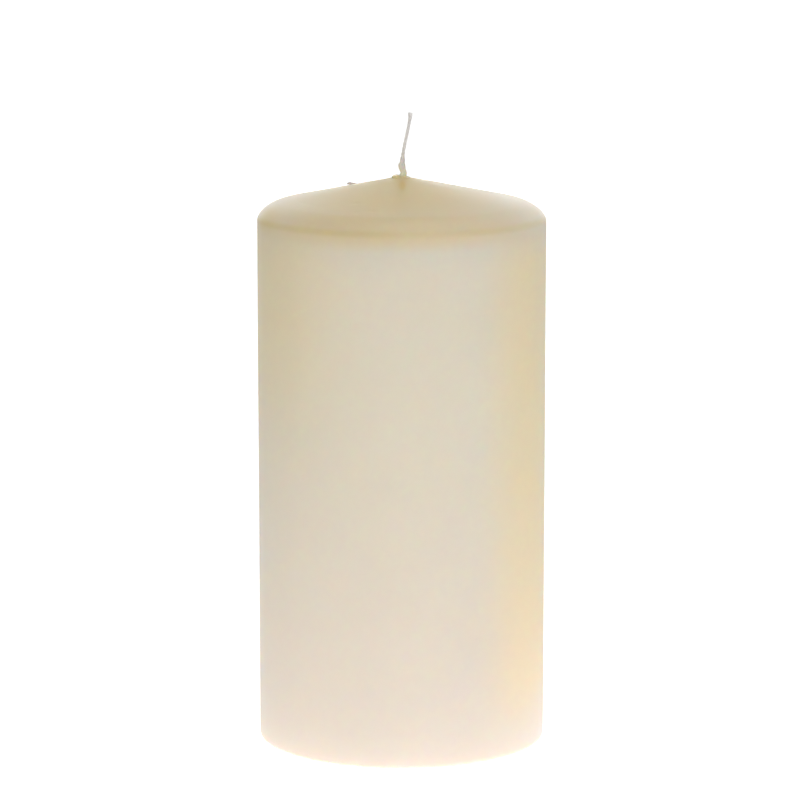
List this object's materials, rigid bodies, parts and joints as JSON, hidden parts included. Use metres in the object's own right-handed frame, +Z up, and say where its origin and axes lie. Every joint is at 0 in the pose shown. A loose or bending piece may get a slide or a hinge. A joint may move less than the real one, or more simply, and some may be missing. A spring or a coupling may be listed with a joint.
{
  "type": "pillar candle",
  "caption": "Plain round ivory pillar candle with a low pointed crown, a small wax button at the top and a plaited cotton wick that leans to one side.",
  "frame": {"origin": "centre of the base, on the surface that the candle stands on", "axes": "+Z up along the candle's axis, +X towards the side that the wick leans to"},
  "size_m": [0.07, 0.07, 0.1538],
  "materials": {
    "wax": "satin ivory wax",
    "wick": "plaited cotton, soaked with wax at its foot"
  },
  "bodies": {
    "root": {"wax_pillar": "wax", "wick": "wick"}
  },
  "joints": []
}
